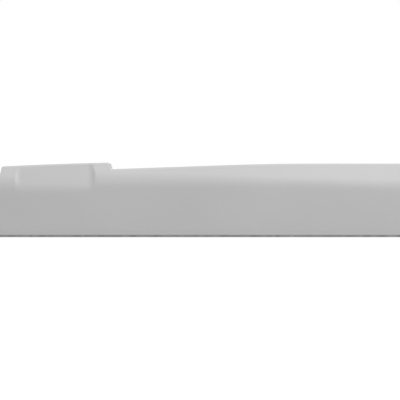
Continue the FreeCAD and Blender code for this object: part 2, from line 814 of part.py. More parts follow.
def board_tread():
    """The sanded walking surface."""
    body = body_named("tread_sheet")
    sheet = sketch_on(body, "XY_Plane", "tread_plan")
    bind(sheet, "AttachmentOffset.Base.z", BOARD_TOP)
    outline(sheet, rounded_rectangle(
        "( board_length / 2 - tread_margin )",
        "( board_width / 2 - tread_margin )",
        "( board_corner_radius - tread_margin )",
        "( board_rear_x + board_length / 2 )",
    ))
    pad(body, sheet, "tread_pad", "tread_thickness")
    holes = board_hole_tools("tread_hole", "washer_radius + washer_relief",
                             (f"{BOARD_TOP} - 1", f"{TREAD_TOP} + 1"), BOARD_BOLTS)
    return cut("board_tread", body, *holes)


def under_plate(name, centre_x, half_length):
    """A steel plate under the board, drilled for its four bolts."""
    half_y = "( board_width / 2 - under_plate_inset )"
    plate = box(f"{name}_blank", (f"{centre_x} - {half_length}", f"{centre_x} + {half_length}"),
                (f"0 - {half_y}", half_y), (LUG_PLATE_Z, BOARD_Z))
    places = [place for place in BOARD_BOLTS if centre_x in place[0]]
    holes = board_hole_tools(f"{name}_hole", "board_bolt_diameter / 2 + hole_clearance",
                             (f"{LUG_PLATE_Z} - 1", f"{BOARD_Z} + 1"), places)
    return plate, holes


def hinge_plate():
    """The plate under the rear end, with a lug to each clevis."""
    plate, holes = under_plate("hinge_plate", "hinge_x", "( hinge_plate_length / 2 )")
    lugs = []
    for hand, side in SIDES:
        across = (f"{side} * hinge_y - lug_width / 2", f"{side} * hinge_y + lug_width / 2")
        lugs.append(box(f"lug_web_{hand}", ("hinge_x - lug_radius", "hinge_x + lug_radius"),
                        across, (PIN_Z, LUG_PLATE_Z)))
        lugs.append(rod(f"lug_eye_{hand}", "lug_radius", "y", across, ("hinge_x", PIN_Z)))
        bore = rod(f"lug_bore_{hand}", f"{BORE_RADIUS} + bush_wall", "y", across,
                   ("hinge_x", PIN_Z))
        holes.append(bore)
    return cut("hinge_plate", fuse("hinge_plate_weldment", plate, *lugs), *holes)


def spring_plate():
    plate, holes = under_plate("spring_plate", "spring_x", "( spring_plate_length / 2 )")
    holes += [
        rod(f"spring_plate_seat_hole_{hand}", "frame_bolt_diameter / 2 + hole_clearance", "z",
            (f"{LUG_PLATE_Z} - 1", f"{BOARD_Z} + 1"), ("spring_x", f"{side} * spring_y"))
        for hand, side in SIDES
    ]
    return cut("spring_plate", plate, *holes)


def hinge_bushing(hand, side):
    """A plain bush in the lug, with a collar at each face."""
    centre = f"{side} * hinge_y"
    body = (f"{centre} - lug_width / 2 - bush_collar", f"{centre} + lug_width / 2 + bush_collar")
    sleeve = rod(f"bush_sleeve_{hand}", f"{BORE_RADIUS} + bush_wall", "y", body, ("hinge_x", PIN_Z))
    collars = [
        rod(f"bush_collar_{hand}_{edge}", f"{BORE_RADIUS} + bush_wall + bush_collar_rim", "y", span,
            ("hinge_x", PIN_Z))
        for edge, span in (
            ("low", (f"{centre} - lug_width / 2 - bush_collar", f"{centre} - lug_width / 2")),
            ("high", (f"{centre} + lug_width / 2", f"{centre} + lug_width / 2 + bush_collar")),
        )
    ]
    bore = rod(f"bush_bore_{hand}", BORE_RADIUS, "y", body, ("hinge_x", PIN_Z))
    return cut(f"bush_{hand}", fuse(f"bush_blank_{hand}", sleeve, *collars), bore)


# ---- fasteners -------------------------------------------------------------------


def board_bolt(n, place):
    """A low round-headed bolt through the board, its washer on the upper skin."""
    seat = f"( {BOARD_TOP} + washer_thickness )"
    shank = rod(f"board_bolt_shank_{n}", "board_bolt_diameter / 2", "z",
                (f"{LUG_PLATE_Z} - {NUT_HEIGHT} - board_bolt_tail", seat), place)
    head = DOC.addObject("Part::Cone", f"board_bolt_head_{n}")
    bind(head, "Radius1", "board_head_radius")
    bind(head, "Radius2", "board_head_radius / 2")
    stand(head, "z", (seat, f"{seat} + board_head_height"), place)
    return fuse(f"board_bolt_{n}", shank, head)


def board_bolt_washer(n, place):
    span = (BOARD_TOP, f"{BOARD_TOP} + washer_thickness")
    disc = rod(f"washer_disc_{n}", "washer_radius", "z", span, place)
    hole = rod(f"washer_hole_{n}", "board_bolt_diameter / 2 + hole_clearance", "z", span, place)
    return cut(f"board_bolt_washer_{n}", disc, hole)


def board_bolt_nut(n, place):
    span = (f"{LUG_PLATE_Z} - {NUT_HEIGHT}", LUG_PLATE_Z)
    blank = hexagon(f"nut_blank_{n}", f"board_bolt_diameter * {ACROSS_FLATS}", "z", span, place)
    thread = rod(f"nut_thread_{n}", "board_bolt_diameter / 2 + hole_clearance / 4", "z", span, place)
    return cut(f"board_bolt_nut_{n}", blank, thread)


def bolt_sleeve(n, place):
    span = (BOARD_Z, BOARD_TOP)
    tube = rod(f"sleeve_tube_{n}", SLEEVE_RADIUS, "z", span, place)
    bore = rod(f"sleeve_bore_{n}", "board_bolt_diameter / 2 + hole_clearance", "z", span, place)
    return cut(f"bolt_sleeve_{n}", tube, bore)


def hex_bolt(name, seat, place):
    """A hexagon-headed bolt that screws down into a base plate."""
    shank = rod(f"{name}_shank", "frame_bolt_diameter / 2", "z", ("bolt_foot", seat), place)
    head = hexagon(f"{name}_head", f"frame_bolt_diameter * {ACROSS_FLATS}", "z",
                   (seat, f"{seat} + frame_bolt_diameter * {HEAD_HEIGHT}"), place)
    return fuse(name, shank, head)


def shell_screw(hand, side, step):
    """A screw from the rail's inner face through the rail and the cowling's channel wall."""
    place = (f"{step} * shell_screw_pitch", "plate_thickness + rail_size / 2")
    inside = f"{side} * ( {CHANNEL_HALF} - rail_size )"
    end = f"{side} * ( {CHANNEL_HALF} + shell_wall + shell_screw_tail )"
    head_end = f"{inside} - {side} * shell_screw_head"
    shank_span = (inside, end) if side > 0 else (end, inside)
    head_span = (head_end, inside) if side > 0 else (inside, head_end)
    name = f"shell_screw_{hand}_{step + 2}"
    shank = rod(f"{name}_shank", "shell_screw_diameter / 2", "y", shank_span, place)
    head = rod(f"{name}_head", "shell_screw_head_radius", "y", head_span, place)
    return fuse(name, shank, head)


def shell_nut(hand, side, step):
    place = (f"{step} * shell_screw_pitch", "plate_thickness + rail_size / 2")
    face = f"{side} * ( {CHANNEL_HALF} + shell_wall )"
    height = f"shell_screw_diameter * {THIN_NUT_HEIGHT}"
    back = f"{side} * ( {CHANNEL_HALF} + shell_wall + {height} )"
    span = (face, back) if side > 0 else (back, face)
    name = f"shell_nut_{hand}_{step + 2}"
    blank = hexagon(f"{name}_blank", f"shell_screw_diameter * {ACROSS_FLATS}", "y", span, place)
    thread = rod(f"{name}_thread", "shell_screw_diameter / 2 + hole_clearance / 4", "y", span, place)
    return cut(name, blank, thread)


# ---- the set ---------------------------------------------------------------------


def build():
    steps = (-1, 0, 1)
    bracket_bolt_places = flange_bolt_places(1) + flange_bolt_places(-1)
    seat_heads = [SEAT_TOP, SEAT_TOP, f"{PLATE_TOP} + bump_floor"]
    parts = [
        base_shell(),
        base_gasket(),
        base_plate("rear_base_plate", "rear_plate_x", "0 - deck_bolt_spacing_x / 2",
                   bracket_bolt_places),
        base_plate("front_base_plate", "front_plate_x", "deck_bolt_spacing_x / 2",
                   seat_bolt_places()),
        cross_member(),
        group("cotter_pins", [cotter_pin(*hand) for hand in SIDES]),
        group("lower_spring_seats", [lower_seat(*hand) for hand in SIDES]),
        bump_stop(),
        rebound_bumper(),
        group("bracket_bolts", [hex_bolt(f"bracket_bolt_{n}", "2 * plate_thickness", place)
                                for n, place in enumerate(bracket_bolt_places)]),
        group("seat_bolts", [hex_bolt(f"seat_bolt_{n}", seat, place) for n, (seat, place)
                             in enumerate(zip(seat_heads, seat_bolt_places()))]),
        group("shell_screws", [shell_screw(*hand, n) for hand in SIDES for n in steps]),
        group("shell_nuts", [shell_nut(*hand, n) for hand in SIDES for n in steps]),
        board_shell(),
        board_deck(),
        board_tread(),
        hinge_plate(),
        group("hinge_bushings", [hinge_bushing(*hand) for hand in SIDES]),
        spring_plate(),
        group("upper_spring_seats", [upper_seat(*hand) for hand in SIDES]),
    ]
    for hand in SIDES:
        parts += [frame_rail(*hand), hinge_bracket(*hand), clevis_pin(*hand), spring(*hand)]
    parts += [core_stringer(n) for n in range(DRIVING_SIZES["stringer_count"])]
    for name, piece in (
        ("board_bolts", board_bolt),
        ("board_bolt_washers", board_bolt_washer),
        ("board_bolt_nuts", board_bolt_nut),
        ("bolt_sleeves", bolt_sleeve),
    ):
        parts.append(group(name, [piece(n + 1, place) for n, place in enumerate(BOARD_BOLTS)]))
    return parts


def write(parts):
    """Checks every object and writes each sub-part to its own file."""
    DOC.recompute()
    for item in DOC.Objects:
        if {"Invalid", "Error"} & set(item.State):
            raise RuntimeError(f"{item.Label} failed: {item.State}")
    os.makedirs("parts", exist_ok=True)
    for part in parts:
        if part.Shape.isNull() or not part.Shape.isValid():
            raise RuntimeError(f"{part.Label} has no valid shape")
        part.Shape.exportStep(f"parts/{part.Label}.step")
        box_of = part.Shape.BoundBox
        print(f"{part.Label:22} {len(part.Shape.Solids):2} solids "
              f"{box_of.XMin:8.1f} {box_of.XMax:8.1f} {box_of.YMin:7.1f} {box_of.YMax:7.1f} "
              f"{box_of.ZMin:6.1f} {box_of.ZMax:6.1f}")


write(build())
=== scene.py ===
"""Looks for the diving board set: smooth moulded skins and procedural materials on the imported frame."""

import json
import math

import bpy
import bmesh
import numpy as np
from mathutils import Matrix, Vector


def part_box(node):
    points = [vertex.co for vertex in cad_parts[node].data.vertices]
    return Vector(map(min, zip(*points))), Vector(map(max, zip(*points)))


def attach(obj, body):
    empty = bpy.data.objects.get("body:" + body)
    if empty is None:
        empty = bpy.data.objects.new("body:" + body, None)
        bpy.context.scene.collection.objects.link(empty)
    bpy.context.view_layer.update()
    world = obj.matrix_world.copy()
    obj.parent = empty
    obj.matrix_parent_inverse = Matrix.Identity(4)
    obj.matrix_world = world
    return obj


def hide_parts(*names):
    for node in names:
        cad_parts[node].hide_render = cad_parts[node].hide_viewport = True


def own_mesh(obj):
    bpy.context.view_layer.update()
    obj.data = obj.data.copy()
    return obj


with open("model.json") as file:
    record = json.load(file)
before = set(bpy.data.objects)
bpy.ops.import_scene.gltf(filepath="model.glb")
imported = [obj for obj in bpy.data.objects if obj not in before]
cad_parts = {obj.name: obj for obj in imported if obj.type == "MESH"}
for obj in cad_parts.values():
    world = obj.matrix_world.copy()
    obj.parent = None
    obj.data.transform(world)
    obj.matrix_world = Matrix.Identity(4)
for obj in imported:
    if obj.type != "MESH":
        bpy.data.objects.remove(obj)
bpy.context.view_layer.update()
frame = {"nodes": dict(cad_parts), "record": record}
NODES = frame["nodes"]
MM = 0.001


# ---- materials -------------------------------------------------------------------


def node_material(name, colour, roughness, metallic=0.0):
    """A principled material and its shader node."""
    material = bpy.data.materials.new(name)
    material.use_nodes = True
    shader = material.node_tree.nodes["Principled BSDF"]
    shader.inputs["Base Color"].default_value = (*colour, 1)
    shader.inputs["Roughness"].default_value = roughness
    shader.inputs["Metallic"].default_value = metallic
    return material, shader


def noise(tree, scale, detail=3.0, stretch=(1, 1, 1)):
    """Noise in the object's own metres, finer along an axis with a larger stretch."""
    place = tree.nodes.new("ShaderNodeTexCoord")
    mapping = tree.nodes.new("ShaderNodeMapping")
    mapping.inputs["Scale"].default_value = stretch
    texture = tree.nodes.new("ShaderNodeTexNoise")
    texture.inputs["Scale"].default_value = scale
    texture.inputs["Detail"].default_value = detail
    tree.links.new(place.outputs["Object"], mapping.inputs["Vector"])
    tree.links.new(mapping.outputs["Vector"], texture.inputs["Vector"])
    return texture


def ramp(tree, source, stops):
    """Maps a 0 to 1 value to colours or greys at the given stops."""
    node = tree.nodes.new("ShaderNodeValToRGB")
    elements = node.color_ramp.elements
    while len(elements) < len(stops):
        elements.new(0.5)
    for element, (position, colour) in zip(elements, stops):
        element.position = position
        element.color = (*colour, 1) if isinstance(colour, tuple) else (colour,) * 3 + (1,)
    tree.links.new(source, node.inputs["Fac"])
    return node.outputs["Color"]


def mottle(material, shader, dark, light, scale, stretch=(1, 1, 1), detail=4.0):
    """Colour that wanders between two tones."""
    tree = material.node_tree
    texture = noise(tree, scale, detail, stretch)
    colour = ramp(tree, texture.outputs["Fac"], ((0.3, dark), (0.7, light)))
    tree.links.new(colour, shader.inputs["Base Color"])


def roughen(material, shader, low, high, scale, stretch=(1, 1, 1)):
    """Roughness that wanders between two values."""
    tree = material.node_tree
    texture = noise(tree, scale, 5.0, stretch)
    grey = ramp(tree, texture.outputs["Fac"], ((0.3, low), (0.7, high)))
    tree.links.new(grey, shader.inputs["Roughness"])


def relief(material, shader, source, strength, depth):
    """Surface relief from a height source, its depth in metres."""
    tree = material.node_tree
    node = tree.nodes.new("ShaderNodeBump")
    node.inputs["Strength"].default_value = strength
    node.inputs["Distance"].default_value = depth
    tree.links.new(source, node.inputs["Height"])
    tree.links.new(node.outputs["Normal"], shader.inputs["Normal"])


def gelcoat(name, dark, light, roughness, peel):
    """Sprayed or moulded coat: faint cloudiness, orange-peel bump, uneven satin."""
    material, shader = node_material(name, light, roughness)
    mottle(material, shader, dark, light, 3.0)
    roughen(material, shader, roughness - 0.05, roughness + 0.06, 9.0)
    texture = noise(material.node_tree, 420.0, 2.0)
    relief(material, shader, texture.outputs["Fac"], peel, 0.0002)
    return material


def rubber(name, tone):
    """Moulded rubber: matt, slightly uneven in tone."""
    material, shader = node_material(name, (tone,) * 3, 0.75)
    mottle(material, shader, (tone * 0.8,) * 3, (tone * 1.3,) * 3, 60.0)
    texture = noise(material.node_tree, 900.0, 2.0)
    relief(material, shader, texture.outputs["Fac"], 0.3, 0.0002)
    return material


def galvanised(name):
    """Zinc spangle: irregular crystals a centimetre across."""
    material, shader = node_material(name, (0.55, 0.56, 0.57), 0.42, 1.0)
    tree = material.node_tree
    place = tree.nodes.new("ShaderNodeTexCoord")
    cells = tree.nodes.new("ShaderNodeTexVoronoi")
    cells.inputs["Scale"].default_value = 90.0
    tree.links.new(place.outputs["Object"], cells.inputs["Vector"])
    spangle = ((0.1, (0.42, 0.43, 0.45)), (0.9, (0.66, 0.67, 0.68)))
    colour = ramp(tree, cells.outputs["Color"], spangle)
    tree.links.new(colour, shader.inputs["Base Color"])
    roughen(material, shader, 0.34, 0.52, 40.0)
    texture = noise(tree, 300.0, 3.0)
    relief(material, shader, texture.outputs["Fac"], 0.15, 0.0002)
    return material


def stainless(name):
    """Turned or drawn stainless steel with fine lines."""
    material, shader = node_material(name, (0.66, 0.66, 0.67), 0.25, 1.0)
    roughen(material, shader, 0.18, 0.34, 150.0, (1, 1, 12))
    texture = noise(material.node_tree, 400.0, 2.0, (1, 1, 20))
    relief(material, shader, texture.outputs["Fac"], 0.08, 0.0001)
    return material


def epoxy_black(name):
    """Black epoxy coat on the spring wire."""
    material, shader = node_material(name, (0.02, 0.02, 0.022), 0.38)
    mottle(material, shader, (0.014, 0.014, 0.016), (0.03, 0.03, 0.033), 30.0)
    texture = noise(material.node_tree, 350.0, 2.0)
    relief(material, shader, texture.outputs["Fac"], 0.2, 0.0002)
    return material


def acetal(name):
    """Ivory bearing plastic."""
    material, shader = node_material(name, (0.82, 0.8, 0.72), 0.45)
    mottle(material, shader, (0.78, 0.76, 0.68), (0.84, 0.82, 0.75), 40.0)
    return material


def timber(name):
    """Straight-grained fir, growth rings stretched along the plank."""
    material, shader = node_material(name, (0.55, 0.36, 0.2), 0.6)
    tree = material.node_tree
    rings = noise(tree, 60.0, 6.0, (0.04, 1, 1))
    colour = ramp(tree, rings.outputs["Fac"], (
        (0.35, (0.42, 0.24, 0.12)), (0.5, (0.62, 0.42, 0.24)), (0.68, (0.7, 0.5, 0.31)),
    ))
    tree.links.new(colour, shader.inputs["Base Color"])
    relief(material, shader, rings.outputs["Fac"], 0.2, 0.0004)
    return material


def sanded(name, dark, light):
    """Non-slip coat: sharp sand grains under paint, with worn tips."""
    material, shader = node_material(name, light, 0.8)
    tree = material.node_tree
    place = tree.nodes.new("ShaderNodeTexCoord")
    grains = tree.nodes.new("ShaderNodeTexVoronoi")
    grains.inputs["Scale"].default_value = 520.0
    tree.links.new(place.outputs["Object"], grains.inputs["Vector"])
    colour = ramp(tree, grains.outputs["Distance"], ((0.05, light), (0.6, dark)))
    tree.links.new(colour, shader.inputs["Base Color"])
    roughen(material, shader, 0.7, 0.92, 25.0)
    relief(material, shader, grains.outputs["Distance"], -0.6, 0.0008)
    return material


COWLING = gelcoat("moulded_cowling", (0.283,) * 3, (0.299,) * 3, 0.45, 0.1)
BOARD_COAT = gelcoat("board_gelcoat", (0.50,) * 3, (0.54,) * 3, 0.28, 0.06)
TREAD = sanded("sanded_tread", (0.30, 0.31, 0.32), (0.44, 0.45, 0.46))
GASKET = rubber("gasket_rubber", 0.28)
STOP = rubber("stop_rubber", 0.03)
ZINC = galvanised("galvanised_steel")
STEEL = stainless("stainless")
COIL = epoxy_black("spring_steel")
BUSH = acetal("bush_polymer")
FIR = timber("core_timber")

MATERIAL_OF_SLOT = {
    "moulded_cowling": COWLING,
    "gasket_rubber": GASKET,
    "galvanised_steel": ZINC,
    "spring_steel": COIL,
    "stop_rubber": STOP,
    "stainless": STEEL,
    "bush_polymer": BUSH,
    "board_gelcoat": BOARD_COAT,
    "sanded_tread": TREAD,
    "core_timber": FIR,
}
SLOT_OF_NODE = {part["node"]: part["material_slot"] for part in frame["record"]["subparts"]}


def dress_nodes():
    """Every CAD node takes the material of its slot."""
    for name, node in NODES.items():
        node.data.materials.clear()
        node.data.materials.append(MATERIAL_OF_SLOT[SLOT_OF_NODE[name]])


dress_nodes()


# ---- moulded cowling -------------------------------------------------------------

# Lengths are in millimetres from here to the stage. +X is towards the board's tip.


def box_mm(node):
    """The least and the greatest corner of a CAD node, in millimetres."""
    return [[round(value / MM, 3) for value in corner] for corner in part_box(node)]


# The flank stands on the rim seal, which gives its plan and its foot.
HALF_LENGTH, HALF_WIDTH, FOOT_Z = box_mm("base_gasket")[1]
CORNER = 78.5
CORNER_X = HALF_LENGTH - CORNER
CORNER_Y = HALF_WIDTH - CORNER
WALL = 5.0

# Side outline: rear deck, saddle, a rise of two degrees to the long crest, and the nose.
SADDLE_TOP = box_mm("base_shell")[1][2]
CREST = SADDLE_TOP - 2.0
REAR_DECK = CREST - 23.3
TILT = math.radians(2)
CREST_X = 67.0
CREST_RADIUS = 5400.0
NOSE_RADIUS = 130.0
NOSE_TURN_X = HALF_LENGTH - NOSE_RADIUS
NOSE_END = 1.385
REAR_RADIUS = 70.0
REAR_TURN_X = REAR_RADIUS - HALF_LENGTH
SADDLE_REAR = (-475.5, -471.5)
SADDLE_FRONT = (-257.0, -253.5)
SADDLE_HEIGHTS = (SADDLE_TOP - 7.7, SADDLE_TOP)
SADDLE_RADIUS = 7500.0
SADDLE_END = SADDLE_FRONT[1] + 1.5
OUTLINE_EASE = 1.5

# The board's channel between the side walls, and its tunnel under the saddle.
TUNNEL_TOP = 136.0
CHANNEL = 237.0
CHANNEL_FOOT = 8.0
CHANNEL_EDGE = 6.0
CHANNEL_WALL_REAR = -470.0
CHANNEL_WALL_LAP = 1.0
BRIM = CHANNEL + CHANNEL_EDGE
BRIM_SHARE = 0.98
REAR_WALL_X = -490.0

# Flank: upright below, leaning back above the bevel's foot, which wanders along the cowling.
BEVEL_LEAN = 0.48
BEVEL_FOOT = ((-460, 107.6), (-290, 114.2), (-75, 112.4), (125, 109.0), (320, 103.0))
BEVEL_BLEND = ((-235, 16.0), (125, 10.0))
KNOT_EASE = range(-60, 61, 20)
RECESS_ENDS = (-431.0, -303.0)
RECESS_SWEEPS = (1100.0, 1500.0)
RECESS_FOOT = 97.5
RECESS_LEAN = 0.345
RECESS_BLEND_Z = (100.0, 112.0)
RECESS_BLEND = (3.2, 0.8)

# The roll between flank and top, wider towards the two ends. Where the nose comes down, it is
# no more than a third of what is left above ROLL_FADE_Z.
ROLL_CENTRE = -20.0
ROLL_REACH = (470.0, 560.0)
ROLL_WIDTH = (3.0, 23.0)
ROLL_FADE_Z = 12.0
ROLL_LEAST = 1.0

# Rows of points up the flank and its roll, across the brim, and from there to the middle line.
UPRIGHT_ROWS = 30
ROLL_ROWS = 7
FLANK_ROWS = UPRIGHT_ROWS + ROLL_ROWS
BRIM_ROWS = 5
ROOF_ROWS = 20

# Rows of points over the channel's edge and down its wall, and stations round the two ends.
EDGE_ROWS = 5
DOWN_ROWS = 4
REAR_STATIONS = 19
NOSE_STATIONS = 26
APRON_STATIONS = 41

# Station spans along the cowling, each with its spacing: close where the outline turns.
SPANS = (
    (-500, -480, 4), (-480, -464, 0.8), (-464, -448, 2), (-448, -416, 1), (-416, -312, 4),
    (-312, -280, 1), (-280, -262, 2), (-262, -247, 0.75), (-247, 440, 9.5),
)

# The low wall across the front, and the rim round the foot.
APRON_TOP = 42.0
APRON_THICKNESS = 5.0
APRON_RISE = (FOOT_Z, 12.0, 20.0, 28.0, 34.0, 38.5)
APRON_HALF = CHANNEL + 2.0
RIM = ((-1.0, FOOT_Z), (1.5, FOOT_Z), (1.5, 8.6), (1.3, 8.8), (-1.0, 8.8))


def soft_min(a, b, width):
    """The lower of two heights, rounded over where they cross."""
    mix = np.clip(0.5 + 0.5 * (b - a) / width, 0, 1)
    return b + (a - b) * mix - width * mix * (1 - mix)


def sharp_top(x):
    """Side outline of the cowling's top, with its corners still sharp."""
    turn = CREST_RADIUS * math.tan(TILT / 2)
    level = CREST_X + turn
    arch_x = np.clip(x, CREST_X - turn, level)
    arch = CREST - CREST_RADIUS + np.sqrt(CREST_RADIUS**2 - (arch_x - level) ** 2)
    top = arch - math.tan(TILT) * np.clip(CREST_X - turn - x, 0, None)
    low, high = SADDLE_HEIGHTS
    span = SADDLE_FRONT[0] - SADDLE_REAR[1]
    run = (x - SADDLE_REAR[1]) / span
    crown = low + (high - low) * run + run * (1 - run) * span**2 / (2 * SADDLE_RADIUS)
    foot = np.interp(x, SADDLE_REAR, (REAR_DECK, low))
    front_foot = CREST - math.tan(TILT) * (CREST_X - SADDLE_FRONT[1])
    fall = np.interp(x, SADDLE_FRONT, (high, front_foot))
    saddle = np.where(x < SADDLE_REAR[1], foot, np.where(x > SADDLE_FRONT[0], fall, crown))
    return np.where(x < SADDLE_FRONT[1], saddle, top)


def top_height(x):
    """The top's outline, corners eased by averaging, with the round rear and nose."""
    spread = np.linspace(-2, 2, 25) * OUTLINE_EASE
    weights = np.exp(-((spread / OUTLINE_EASE) ** 2))
    top = sum(w * sharp_top(x + s) for w, s in zip(weights, spread)) / weights.sum()
    rear = np.clip(REAR_TURN_X - x, 0, REAR_RADIUS)
    top = top - REAR_RADIUS + np.sqrt(REAR_RADIUS**2 - rear**2)
    nose = np.clip(x - NOSE_TURN_X, 0, NOSE_RADIUS)
    return top - NOSE_RADIUS + np.sqrt(NOSE_RADIUS**2 - nose**2)


def plan_half(x):
    """Half the width of the cowling in plan, with its round corners."""
    reach = np.clip(np.abs(x) - CORNER_X, 0, CORNER)
    return CORNER_Y + np.sqrt(CORNER**2 - reach**2)


def eased(x, knots):
    """A value that runs smoothly between the knots, averaged over a hand's width."""
    places, values = zip(*knots)
    return sum(np.interp(x + shift, places, values) for shift in KNOT_EASE) / len(KNOT_EASE)


def side_face(x, z):
    """How far out the flank is at a height: upright, then the bevel, then the grip recess."""
    bevel = HALF_WIDTH - (z - eased(x, BEVEL_FOOT)) * BEVEL_LEAN
    flank = soft_min(plan_half(x), bevel, BEVEL_LEAN * eased(x, BEVEL_BLEND))
    behind = np.clip(RECESS_ENDS[0] - x, 0, None)
    ahead = np.clip(x - RECESS_ENDS[1], 0, None)
    ends = behind**3 / RECESS_SWEEPS[0] + ahead**3 / RECESS_SWEEPS[1]
    recess = HALF_WIDTH - (z - RECESS_FOOT) * RECESS_LEAN + ends
    return soft_min(flank, recess, np.interp(z, RECESS_BLEND_Z, RECESS_BLEND))


def stations():
    """Places along the cowling, close together where its outline turns."""
    rear = REAR_TURN_X - REAR_RADIUS * np.cos(np.linspace(0, math.pi / 2, REAR_STATIONS))
    nose = NOSE_TURN_X + NOSE_RADIUS * np.sin(np.linspace(0, NOSE_END, NOSE_STATIONS))
    return np.concatenate([rear, *(np.arange(*span) for span in SPANS), nose])


def flank_rows(x, inset):
    """Rows of points up the flank and over the top's outer edge, at every station."""
    top = top_height(x)
    roll = np.interp(np.abs(x - ROLL_CENTRE), ROLL_REACH, ROLL_WIDTH)
    roll = np.minimum(roll, np.maximum((top - ROLL_FADE_Z) / 3, ROLL_LEAST))
    share = np.linspace(0, 1, UPRIGHT_ROWS)[:, None]
    up = FOOT_Z + (top - roll - FOOT_Z) * np.sin(share * math.pi / 2)
    turn = np.linspace(0, math.pi / 2, ROLL_ROWS + 1)[1:, None]
    over = top - roll + roll * np.sin(turn)
    heights = np.vstack([up, over])
    widths = side_face(x, heights)
    widths[UPRIGHT_ROWS:] -= roll * (1 - np.cos(turn))
    if inset:
        heights = np.minimum(heights, top - inset)
        widths = widths - inset
        heights[0] = FOOT_Z
    return widths, heights


def rows_to(widths, heights, target, count):
    """More rows straight across the top to a given half width."""
    share = np.linspace(0, 1, count + 1)[1:, None]
    across = widths[-1] + (target - widths[-1]) * share
    return np.vstack([widths, across]), np.vstack([heights, np.repeat(heights[-1:], count, 0)])


def grid(mesh, widths, heights, x, side):
    """Adds a sheet of quads and returns its vertices, row by row."""
    rows = []
    for across, up in zip(widths, heights):
        rows.append([
            mesh.verts.new((px * MM, side * py * MM, pz * MM)) for px, py, pz in zip(x, across, up)
        ])
    for low, high in zip(rows, rows[1:]):
        bridge(mesh, low, high)
    return rows


def bridge(mesh, low, high):
    """A strip of quads between two rows of vertices."""
    for i in range(len(low) - 1):
        mesh.faces.new((low[i], low[i + 1], high[i + 1], high[i]))


def saddle_sheet(mesh, x, side, inset, widths, heights):
    """The skin behind the mouth: across the brim and over the tunnel to the middle line."""
    brim = np.minimum(BRIM, widths[-1] * BRIM_SHARE)
    widths, heights = rows_to(widths, heights, brim, BRIM_ROWS)
    widths, heights = rows_to(widths, heights, 0.0, ROOF_ROWS)
    if inset:
        roof = np.maximum(heights[-1], np.minimum(TUNNEL_TOP, top_height(x)))
        heights[-ROOF_ROWS:] = np.where(x < SADDLE_REAR[1] + 1, heights[-1], roof)
        x = x + inset * np.clip((REAR_WALL_X - x) / (HALF_LENGTH + REAR_WALL_X), 0, 1)
    return grid(mesh, widths, heights, x, side)


def channel_sheet(mesh, x, side, inset, widths, heights):
    """The skin ahead of the mouth: across the brim, over its edge and down into the channel."""
    channel = CHANNEL + inset
    edge = CHANNEL_EDGE - inset
    widths, heights = rows_to(widths, heights, BRIM, BRIM_ROWS)
    turn = np.linspace(0, math.pi / 2, EDGE_ROWS + 1)[1:, None]
    over = heights[-1] - edge * (1 - np.cos(turn))
    foot = np.minimum(CHANNEL_FOOT, over[-1] - 1)
    down = over[-1] + (foot - over[-1]) * np.linspace(0, 1, DOWN_ROWS + 1)[1:, None]
    rolled = channel + edge * (1 - np.sin(turn))
    widths = np.vstack([widths, rolled + 0 * x, channel + 0 * down])
    return grid(mesh, widths, np.vstack([heights, over, down]), x, side)


def cowling_skin(mesh, x, side, inset):
    """One side's skin, as two sheets that share the station at the tunnel's mouth."""
    widths, heights = flank_rows(x, inset)
    mouth = np.count_nonzero(x <= SADDLE_END)
    behind, ahead = slice(mouth), slice(mouth - 1, None)
    return [
        saddle_sheet(mesh, x[behind], side, inset, widths[:, behind], heights[:, behind]),
        channel_sheet(mesh, x[ahead], side, inset, widths[:, ahead], heights[:, ahead]),
    ]


def close_ends(mesh, outer, inner):
    """Closes the gap between the two skins at the nose and round the mouth under the saddle."""
    seam = FLANK_ROWS + BRIM_ROWS - 1
    for start, column in ((0, -1), (seam, 0)):
        out_edge = [row[column] for row in outer[1][start:]]
        in_edge = [row[column] for row in inner[1][start:]]
        bridge(mesh, out_edge, in_edge)
    mesh.faces.new((outer[0][seam][-1], outer[0][seam + 1][-1], inner[0][seam][-1]))


def close_rear(mesh, left, right):
    """Fills the flat rear end between the two sides' rearmost points, listed from the foot up."""
    last = FLANK_ROWS - 2
    bridge(mesh, left[:last + 1], right[:last + 1])
    mesh.faces.new(left[last:] + right[:last - 1:-1])


def block(mesh, x, y, z):
    """A closed block between two places on each axis."""
    corners = [mesh.verts.new((px * MM, py * MM, pz * MM)) for px in x for py in y for pz in z]
    for face in ((0, 1, 3, 2), (4, 6, 7, 5), (0, 4, 5, 1), (2, 3, 7, 6), (0, 2, 6, 4), (1, 5, 7, 3)):
        mesh.faces.new([corners[i] for i in face])


def outline_ring(mesh, section):
    """Sweeps a small closed section round the cowling's foot."""
    loops = []
    turns = np.linspace(0, math.pi / 2, 13)
    for quarter, (sx, sy) in enumerate(((1, 1), (-1, 1), (-1, -1), (1, -1))):
        for turn in turns:
            angle = turn + quarter * math.pi / 2
            loops.append([
                mesh.verts.new((
                    (sx * CORNER_X + (CORNER + out) * math.cos(angle)) * MM,
                    (sy * CORNER_Y + (CORNER + out) * math.sin(angle)) * MM,
                    up * MM,
                ))
                for out, up in section
            ])
    for here, there in zip(loops, loops[1:] + loops[:1]):
        for i in range(len(section)):
            j = (i + 1) % len(section)
            mesh.faces.new((here[i], there[i], there[j], here[j]))


